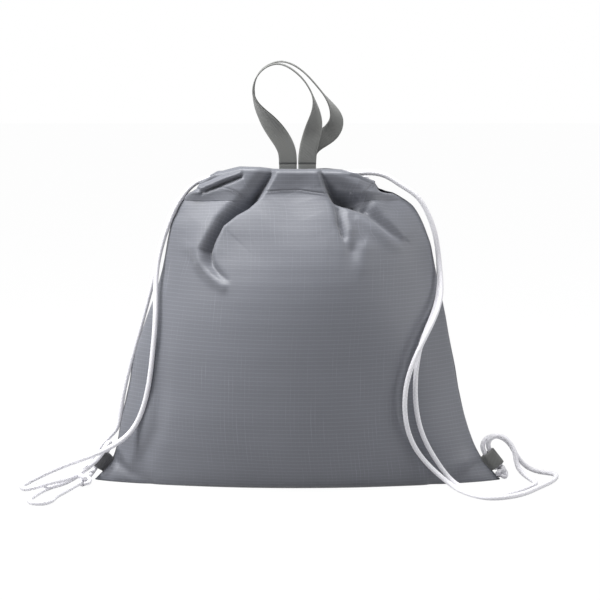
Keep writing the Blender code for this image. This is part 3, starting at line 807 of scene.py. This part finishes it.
FRONT_FOLDS = [
    # long pleat that runs down to the left from the mouth
    [(-34, 262, 3, 8, 6), (-46, 247, 4.5, 16, 7), (-58, 232, 5, 18, 7), (-70, 212, 5, 15, 5),
     (-79, 198, 4.5, 9, 4), (-78, 187, 4.5, 5, 3.5), (-70, 177, 3.5, 4, 3), (-60, 170, 2.4, 4, 3)],
    [(-18, 262, -2, 3, 1.6), (-25, 250, -6, 3.6, 1.6), (-33, 238, -10, 4, 1.6), (-40, 231.5, -12, 4, 1.6),
     (-50, 226.5, -12, 3.8, 1.6), (-61, 218, -10, 3.4, 1.6), (-69.5, 205, -8, 2.6, 2.5),
     (-73.5, 196, -7, 2.6, 3), (-71, 186, -5.5, 2.6, 3), (-65, 179.5, -4, 2.2, 2.6),
     (-58, 174, -1.5, 2.2, 2.6)],
    # flat piece in the middle of the mouth
    [(-14, 263, 4.0, 2.5, 20), (-20, 253, 5.0, 2.5, 22), (-27, 242, 5.0, 3, 24), (-34, 232, 4.0, 3, 24),
     (-48, 225, 3.0, 4, 20), (-60, 216, 2.0, 4, 12), (-66, 203, 1.0, 4, 10)],
    [(15, 262, 4.0, 16, 2.5), (20, 253, 5.0, 18, 2.5), (23.5, 241, 4.5, 20, 3), (27, 230, 3.0, 18, 3),
     (33, 215, 1.0, 14, 4)],
    # pleat on the right
    [(19, 260, -2, 2, 3), (23, 250, -4, 2, 4), (27.5, 241, -9, 2, 6), (31, 237.5, -12, 2, 6),
     (39, 235, -13, 2, 6), (48, 232, -10, 2, 6), (54, 229.5, -3, 2.5, 4)],
    [(22, 263, 3, 6, 7), (36, 258, 6, 7, 8), (49, 251, 7, 7, 9), (59, 243, 6, 7, 9), (64, 234, 3, 7, 9)],
    # dimples under the pleats
    [(33, 229, -2.5, 2.5, 3), (34.5, 219, -5.5, 2.5, 3), (37, 211, -4.5, 2.5, 3), (40, 206, -1.2, 3, 3)],
    [(40.5, 224, 1.6, 2.5, 5), (42.5, 214, 2.4, 2.5, 5), (42, 206, 1.8, 3, 4)],
    [(43, 207, -1, 6, 6), (45, 198, -2.4, 5, 6), (46, 190, -1.0, 7, 7)],
    [(54, 199, 1.4, 5, 8), (51, 187, 1.2, 5, 8)],
    # small ribbed fold that runs down to the right
    [(56, 229, -3.5, 3, 3), (66, 220.5, -3.2, 3, 3), (76, 211.5, -2.2, 3, 3), (84, 205, -0.8, 3, 3)],
    [(62, 231, 2.4, 3, 5), (74, 220, 2.8, 3, 6), (86, 208, 1.8, 4, 7)],
    [(50, 222, 1.2, 4, 3), (62, 215, 1.6, 5, 3), (74, 206, 1.4, 5, 3), (82, 201, 0.6, 5, 3)],
    # folded end of the casing on the left
    [(-79, 250.5, -2.5, 1.5, 1.4), (-62, 258, -4.5, 1.5, 1.4), (-48, 262.5, -2.5, 1.5, 1.4)],
    [(-78, 247, 2.0, 1.5, 1.5), (-62, 254.5, 2.5, 1.5, 1.5), (-47, 260, 2.0, 1.5, 1.5)],
    [(-78, 243.5, -2.5, 1.5, 2), (-62, 250.5, -4.5, 1.5, 2), (-46, 257, -3.5, 1.5, 2)],
    # soft creases beside the cords
    [(-108, 152, -0.6, 6, 9), (-113, 114, -1.8, 5, 9), (-114, 72, -2.4, 5, 9), (-117, 47, -2.4, 5, 8),
     (-126, 28, -1.8, 5, 8), (-136, 13, -0.6, 5, 8)],
    [(104, 132, -0.6, 6, 7), (95, 108, -1.6, 6, 6), (88, 84, -2.2, 6, 6), (90, 62, -2.2, 6, 6),
     (98, 42, -1.6, 6, 6), (112, 26, -0.8, 6, 6)],
    # corners of the base
    [(112, 3, -1.5, 4, 4), (135, 9, -3.2, 4, 4), (153, 14, -2.4, 4, 3)],
    [(120, 12, 1.2, 5, 6), (140, 17, 1.6, 5, 6)],
    [(-122, 3, -1.2, 4, 4), (-140, 9, -2.4, 4, 4), (-153, 17, -1.6, 3, 3)],
    # broad hollows of the stuffed body
    [(-90, 232, 2.0, 14, 16), (-100, 214, 2.5, 12, 18), (-104, 190, 1.0, 10, 20)],
    [(20, 150, 0.9, 60, 50), (10, 60, 1.0, 70, 60)],
]

BACK_FOLDS = [
    [(4, 262, -2, 4, 4), (6, 248, -7, 5, 6), (10, 232, -11, 7, 7), (16, 214, -7, 8, 9), (20, 196, -2, 9, 9)],
    [(-12, 262, 3, 8, 6), (-14, 244, 5, 10, 7), (-16, 226, 4, 12, 9), (-18, 204, 1.5, 12, 12)],
    [(22, 262, 3, 7, 9), (27, 244, 5, 7, 10), (34, 226, 4, 9, 12), (40, 204, 1.5, 10, 12)],
    [(-34, 259, -2, 4, 4), (-40, 244, -9, 6, 6), (-50, 228, -10, 7, 7), (-62, 212, -6, 8, 8),
     (-70, 198, -2, 8, 8)],
    [(-48, 257, 4, 8, 5), (-58, 241, 7, 10, 6), (-72, 225, 6, 12, 7), (-84, 207, 2.5, 12, 9)],
    [(46, 257, -2, 4, 4), (52, 240, -8, 6, 6), (63, 224, -8, 7, 7), (76, 207, -3, 8, 8)],
    [(58, 250, 4, 5, 8), (68, 236, 6, 6, 10), (82, 220, 4, 8, 12), (92, 203, 1.5, 9, 12)],
    [(110, 60, -2.0, 8, 9), (126, 30, -2.2, 7, 8), (146, 10, -1.5, 4, 5)],
    [(-108, 58, -1.8, 8, 9), (-124, 28, -2.0, 7, 8), (-146, 11, -1.4, 4, 5)],
    [(-30, 130, -1.4, 22, 24), (-44, 70, -1.6, 24, 22)],
    [(46, 140, -1.2, 20, 24), (58, 84, -1.4, 22, 22)],
]

# The hem's stitch line as (x, height), in millimetres
FRONT_HEM = [
    (-95, 247.5), (-62, 247), (-53, 245), (-46, 241), (-38, 236.5), (-31, 241), (-25, 243.7), (-12, 245),
    (2, 245), (24, 242), (28, 237), (39, 232), (52, 229), (56, 236), (57.5, 244), (64, 251),
]
BACK_HEM = [(-95, 243), (0, 244), (95, 243)]

# How much of the casing's height the mouth's edge keeps, as (x in millimetres, share)
FRONT_CROWN = [
    (-92, 0.30), (-80, 0.46), (-72, 0.68), (-60, 0.90), (-47, 1.06), (-30, 1.04), (-20, 0.97),
    (0, 0.96), (16, 0.97), (24, 0.96), (36, 0.94), (49, 0.80), (60, 0.52), (70, 0.24), (80, 0.10),
]
BACK_CROWN = [
    (-92, 0.26), (-80, 0.44), (-66, 0.80), (-48, 0.88), (0, 0.86), (24, 0.90), (42, 0.84),
    (62, 0.42), (80, 0.10),
]


def row_points(kind, value, side, crown):
    """One row of the stuffed shape, before its folds."""
    z = {"flat": 0.0, "corner": BASE_CORNER * (1 - math.cos(value)), "outer": value}[kind]
    left, right, deep = (float(profile(table, z)) * MM for table in (LEFT_EDGE, RIGHT_EDGE, DEPTH))
    angles = np.linspace(0, np.pi, COLUMNS)
    eased = angles + COLUMN_EASING * np.sin(2 * angles)
    x = (left + right) / 2 + (right - left) / 2 * np.cos(eased)
    if z > HINGE_HEIGHT:
        z = HINGE_HEIGHT + (z - HINGE_HEIGHT) * np.interp(x / MM, *np.array(crown).T)
    open_share = np.clip((value - MOUTH_START) / MOUTH_RISE, 0.0, 1.0) if kind == "outer" else 0.0
    ends = CLEARANCE + MOUTH_END_DEPTH * open_share
    bow = np.abs(np.sin(eased)) ** (BODY_ROUNDING - MOUTH_FLATTENING * open_share)
    y = ends + (deep - ends) * bow
    if kind == "flat":
        y = np.maximum(y - BASE_CORNER * bow, 0.0) * value + CLEARANCE
    elif kind == "corner":
        y = y - BASE_CORNER * bow * (1 - math.sin(value))
    return np.stack([x, side * y, np.broadcast_to(z, x.shape)], axis=1)


def outward(surface, kinds, side):
    """The directions that folds push in: none on the base, the surface's normals on the body, and straight
    out at the mouth."""
    normals = grid_normals(surface)
    if side * normals[len(kinds) // 2, COLUMNS // 2, 1] < 0:
        normals = -normals
    normals[np.array([kind == "flat" for kind, _ in kinds])] = 0
    upright = np.clip((surface[..., 2] - UPRIGHT_START) / UPRIGHT_RISE, 0, 1)[..., None]
    normals = normals * (1 - upright * (1 - np.array(UPRIGHT_SHARES)))
    normals[..., 1] = normals[..., 1] * (1 - upright[..., 0]) + side * upright[..., 0]
    return normals


def uneven(surface, heights, side):
    """Slow unevenness in millimetres, which fades out at the base and under the mouth's edge."""
    places = surface * UNEVEN_SCALES + np.array([0, side * UNEVEN_OFFSET, 0])
    broad = np.array([[noise.noise(Vector(place)) for place in row] for row in places])
    settle = np.clip((heights - 4) / 22, 0, 1) * np.clip((262 - heights) / 40, 0.15, 1)
    return broad * settle * UNEVEN_HEIGHT


def hem_relief(surface, hem):
    """The hem's raised edge and the groove that its stitches lie in, in millimetres."""
    away, above, _ = nearest_on(surface[..., [0, 2]] / MM, hem)
    away = np.where(above, away, -away)
    step = np.clip(away / HEM_STEP_WIDTH + 0.5, 0, 1)
    groove = np.exp(-(((away - GROOVE_OFFSET) / GROOVE_WIDTH) ** 2))
    return step * HEM_STEP - groove * GROOVE_DEPTH


def tunnel_at(x):
    return tunnel_centre(np.clip(x, -TUNNEL_END, TUNNEL_END))


def clear_of_cords(surface, side):
    """Keeps the cloth outside the cords in the tunnel, and above the floor."""
    least = np.maximum(tunnel_at(surface[..., 0]) + TUNNEL_FRONT, TUNNEL_LEAST)
    least = least * np.clip((surface[..., 2] - TUNNEL_START) / TUNNEL_RISE, 0, 1)
    surface[..., 1] = side * np.maximum(side * surface[..., 1], least)
    surface[..., 2] = np.maximum(surface[..., 2], CLEARANCE)
    return surface


def lining(edge, side):
    """The rows that turn over the mouth's edge and run down behind the cords."""
    x, y, z = edge.T
    behind = tunnel_at(x) - LINING_BEHIND
    in_front = side * y - LINING_LEAST
    past_right = (x - LINING_RIGHT_END) / LINING_FADE
    past_left = (-LINING_LEFT_END - x) / LINING_FADE
    past_end = np.clip(np.maximum(past_right, past_left), 0, 1)
    inner = side * (behind + (in_front - behind) * past_end)
    centre, half = (y + inner) / 2, (y - inner) / 2
    fold = TOP_FOLD * np.clip((z - HINGE_HEIGHT) / (CASING_TOP - HINGE_HEIGHT), FLATTEST_FOLD, 1.0)
    rows = [
        np.stack([x, centre + half * math.cos(angle), z + fold * math.sin(angle)], axis=1)
        for angle in np.radians(np.linspace(0, 180, 13))[1:]
    ]
    rows += [
        np.stack([x, inner, LINING_BOTTOM + (z - LINING_BOTTOM) * share], axis=1)
        for share in np.linspace(1, 0, 14)[1:]
    ]
    return np.array(rows)


def weave_of(surface):
    """Lengths along the cloth, across from its middle column and up from its first row."""
    middle = COLUMNS // 2
    across = np.array([lengths_along(row) for row in surface])
    across -= across[:, middle][:, None]
    up = lengths_along(surface[:, middle])
    return np.stack([across, np.broadcast_to(up[:, None], across.shape)], axis=2)


def make_panel(name, side, folds, hem, crown, casing, panel, material):
    """One cloth with its lining. Also returns the outer surface, for the stitches."""
    kinds = side_rows()
    surface = np.array([row_points(kind, value, side, crown) for kind, value in kinds])
    normals = outward(surface, kinds, side)
    heights = surface[..., 2] / MM
    surface = folded(surface, normals, folds)
    surface = surface + normals * (uneven(surface, heights, side) * MM)[..., None]
    surface = surface + normals * (hem_relief(surface, hem) * MM)[..., None]
    face = softened(clear_of_cords(surface, side), 2)
    whole = np.concatenate([face, lining(face[-1], side)])
    mesh = grid_mesh(name, whole, weave_of(whole))
    if side > 0:
        mesh.flip_normals()
    cloth = new_piece(name, mesh, material)
    solid = cloth.modifiers.new("thickness", "SOLIDIFY")
    solid.thickness = CLOTH
    solid.offset = -1
    apply_modifiers(cloth)
    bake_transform(cloth)
    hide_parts(casing, panel)
    return cloth, face


def apply_modifiers(obj):
    graph = bpy.context.evaluated_depsgraph_get()
    done = bpy.data.meshes.new_from_object(obj.evaluated_get(graph))
    obj.modifiers.clear()
    obj.data = done


LIT_THREAD = (0.335, 0.345, 0.39, 1)
RIPSTOP_FRONT = cloth_finish("grey_ripstop_front", (0.172, 0.180, 0.206, 1), LIT_THREAD)
RIPSTOP_BACK = cloth_finish("grey_ripstop_back", (0.180, 0.187, 0.215, 1), LIT_THREAD, 0.8)
front_cloth, front_surface = make_panel(
    "front_cloth", -1, FRONT_FOLDS, FRONT_HEM, FRONT_CROWN,
    "front_casing", "front_panel", RIPSTOP_FRONT,
)
back_cloth, back_surface = make_panel(
    "back_cloth", 1, BACK_FOLDS, BACK_HEM, BACK_CROWN,
    "back_casing", "back_panel", RIPSTOP_BACK,
)


def make_stitches(name, surface, line, side, lip):
    """A row of thread stitches that lies on the cloth along the hem."""
    route = np.array(line, float) * MM
    along = lengths_along(route)
    starts = np.arange(0.0, along[-1] - STITCH_LENGTH, STITCH_LENGTH + STITCH_SPACE)
    flat = surface[..., [0, 2]].reshape(-1, 2)
    solid = surface.reshape(-1, 3)
    reach = flat[:, 1] > route[:, 1].min() - STITCH_SEARCH
    flat, solid = flat[reach], solid[reach]
    points, faces = [], []
    for start in starts:
        ends = []
        for distance in start + STITCH_LENGTH * np.array([0.0, 0.25, 0.75, 1.0]):
            x, z = (np.interp(distance, along, route[:, k]) for k in range(2))
            off = (flat[:, 0] - x) ** 2 + (flat[:, 1] - z - STITCH_ABOVE_LINE) ** 2
            near = np.argsort(off)[:STITCH_NEAREST]
            ends.append(solid[near].mean(axis=0) + np.array([0.0, side * THREAD_RADIUS, 0.0]))
        ends = np.array(ends)
        if np.abs(np.diff(ends[:, 1])).max() > STITCH_JUMP:
            continue
        ends[1:-1, 1] += side * THREAD_ARCH
        across, other = carried_frames(ends)
        first = len(points)
        for i, centre in enumerate(ends):
            for angle in np.linspace(0, 2 * np.pi, THREAD_SIDES, endpoint=False):
                ring = across[i] * math.cos(angle) + other[i] * math.sin(angle)
                points.append(centre + ring * THREAD_RADIUS)
        faces += grid_faces(len(ends), THREAD_SIDES, closed=True, first=first)
        faces.append(tuple(reversed(range(first, first + THREAD_SIDES))))
        faces.append(tuple(range(len(points) - THREAD_SIDES, len(points))))
    mesh = bpy.data.meshes.new(name)
    mesh.from_pydata([tuple(point) for point in points], [], faces)
    stitches = new_piece(name, mesh, HEM_THREAD)
    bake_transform(stitches)
    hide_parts(lip.replace("lip", "casing"))
    return stitches


HEM_THREAD = thread_finish("hem_thread", (0.16, 0.165, 0.18, 1), (0.06, 0.062, 0.07, 1))
front_stitches = make_stitches("front_hem_stitches", front_surface, FRONT_HEM, -1, "front_lip")
back_stitches = make_stitches("back_hem_stitches", back_surface, BACK_HEM, 1, "back_lip")


# Webbing


def ribbon_mesh(name, centres, wides, thicks, width, thick):
    """A flat tape with slightly rounded edges, swept along its stations."""
    half, deep = width / 2, thick / 2
    edge = deep * 0.8
    across = np.linspace(-half + edge, half - edge, 9)
    round_x, round_y = half - edge * 0.3, deep * 0.6
    section = [(a, deep) for a in across] + [(round_x, round_y), (half, 0.0), (round_x, -round_y)]
    section += [(a, -deep) for a in reversed(across)]
    section += [(-round_x, -round_y), (-half, 0.0), (-round_x, round_y)]
    points = np.array(
        [[c + w * a + t * b for a, b in section] for c, w, t in zip(centres, wides, thicks)]
    )
    along = lengths_along(np.array(centres))
    weave = np.zeros(points.shape[:2] + (2,))
    weave[..., 0] = np.array([a for a, _ in section])[None, :]
    weave[..., 1] = along[:, None]
    rows, columns = points.shape[:2]
    corners = grid_faces(rows, columns, closed=True)
    corners.append(tuple(reversed(range(columns))))
    corners.append(tuple(range((rows - 1) * columns, rows * columns)))
    mesh = bpy.data.meshes.new(name)
    mesh.from_pydata(points.reshape(-1, 3).tolist(), [], corners)
    layer = mesh.uv_layers.new(name="weave")
    flat = weave.reshape(-1, 2)
    for face in mesh.polygons:
        for loop in face.loop_indices:
            layer.data[loop].uv = flat[mesh.loops[loop].vertex_index]
        face.use_smooth = len(face.vertices) == 4
    shape = bmesh.new()
    shape.from_mesh(mesh)
    bmesh.ops.recalc_face_normals(shape, faces=shape.faces)
    shape.to_mesh(mesh)
    shape.free()
    return mesh


def heading(path, i):
    """The direction of the path at one of its points."""
    ahead = path[min(i + 1, len(path) - 1)] - path[max(i - 1, 0)]
    return ahead / np.linalg.norm(ahead)


def twist(height):
    """How far a strap has turned about its own length at this height."""
    share = min(max((height - TWIST_START) / (TWIST_END - TWIST_START), 0.0), 1.0)
    return math.pi / 2 * share * share * (3 - 2 * share)


def make_handle(name, node, body, side, outline):
    """A webbing loop that stands edge to the mouth at its ends and turns flat towards its top."""
    top = max(height for _, height in outline)
    path = smooth_route([(x, 0.0, height) for x, height in outline], 0.0011)
    across = np.array([0.0, 1.0, 0.0])
    centres, wides, thicks = [], [], []
    for i, point in enumerate(path):
        along, sunk = heading(path, i), 0.0
        if i in (0, len(path) - 1):
            along, sunk = np.array([0, 0, 1.0 if i == 0 else -1.0]), LOOP_SINK
        in_plane = np.cross(along, across)
        turn = twist(point[2])
        wide = in_plane * math.cos(turn) + across * math.sin(turn)
        lean = side * LOOP_LEAN * point[2] / top
        centres.append(
            np.array([point[0], side * STRAP_OFFSET + lean, point[2] + LOOP_HINGE - sunk])
        )
        wides.append(wide)
        thicks.append(np.cross(along, wide))
    mesh = ribbon_mesh(name, centres, wides, thicks, WEBBING_WIDTH, WEBBING_THICK)
    handle = new_piece(name, mesh, WEBBING)
    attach(handle, body)
    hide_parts(node)


WEBBING = webbing_finish("grey_webbing", (0.155, 0.158, 0.152, 1), (0.30, 0.305, 0.295, 1))
# A darker copy of the grey webbing, used on the left corner tab: painted shade.
SHADED_WEBBING = webbing_finish("shaded_webbing", (0.075, 0.075, 0.080, 1), (0.16, 0.16, 0.165, 1))
make_handle("front_handle_webbing", "front_handle", "front_loop", -1, FRONT_LOOP)
make_handle("back_handle_webbing", "back_handle", "back_loop", 1, BACK_LOOP)


def make_handle_base(name, node, body):
    """Both ends of a handle, side by side, sewn flat against the inside of the casing."""
    low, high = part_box(node)
    middle = (low.y + high.y) / 2
    width, thick = WEBBING_WIDTH * STRAP_END_WIDTH_SHARE, (high.y - low.y) * STRAP_END_THICK_SHARE
    for label, x in (("left", low.x + WEBBING_WIDTH / 2), ("right", high.x - WEBBING_WIDTH / 2)):
        heights = np.linspace(low.z, high.z, 16)
        centres = [np.array([x, middle, z]) for z in heights]
        wides = [np.array([1.0, 0, 0])] * len(centres)
        thicks = [np.array([0, 1.0, 0])] * len(centres)
        mesh = ribbon_mesh(f"{name}_{label}", centres, wides, thicks, width, thick)
        end = new_piece(f"{name}_{label}", mesh, WEBBING)
        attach(end, body)
        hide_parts(node)


make_handle_base("front_strap_end", "front_handle_base", "front_lip")
make_handle_base("back_strap_end", "back_handle_base", "back_lip")


def make_tab(name, node, side, material):
    """A short webbing loop sewn into the corner seam, open so that a cord passes through it."""
    along, out, base = (np.array(v) * (side, 1, 1) for v in (TAB_ALONG, TAB_OUT, TAB_BASE))
    half = TAB_EYE_DEPTH / 2 + WEBBING_THICK / 2
    near = TAB_STITCHED + TAB_NECK + half + WEBBING_THICK / 2
    far = near + TAB_EYE_LENGTH + 2 * WEBBING_THICK - 2 * (half + WEBBING_THICK / 2)
    line = list(TAB_ROOT)
    for centre, angles in ((near, np.linspace(160, 90, 7)), (far, np.linspace(90, 0, 9))):
        line += [(centre + half * math.cos(a), half * math.sin(a)) for a in np.radians(angles)]
    line += [(x, -y) for x, y in reversed(line[:-1])]
    path = smooth_route([(x, y, 0.0) for x, y in line], 0.0007)
    centres, wides, thicks = [], [], []
    for i, point in enumerate(path):
        ahead = heading(path, i)
        centres.append(base + out * point[0] + np.array([0, point[1], 0]))
        direction = out * ahead[0] + np.array([0, ahead[1], 0])
        wides.append(along)
        thicks.append(np.cross(direction, along))
    mesh = ribbon_mesh(name, centres, wides, thicks, WEBBING_WIDTH, WEBBING_THICK * TAB_THICK_SHARE)
    tab = new_piece(name, mesh, material)
    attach(tab, "bag")
    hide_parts(node)


# The left tab takes the darker copy of the webbing: painted shade.
make_tab("left_corner_tab", "left_tab", -1, SHADED_WEBBING)
make_tab("right_corner_tab", "right_tab", 1, WEBBING)


# Seams inside

SEAM_THREAD = thread_finish("seam_thread", (0.22, 0.23, 0.26, 1), (0.12, 0.125, 0.14, 1))
for name in ("bottom_seam", "left_side_seam", "right_side_seam"):
    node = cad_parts[name]
    node.data.materials.clear()
    node.data.materials.append(SEAM_THREAD)
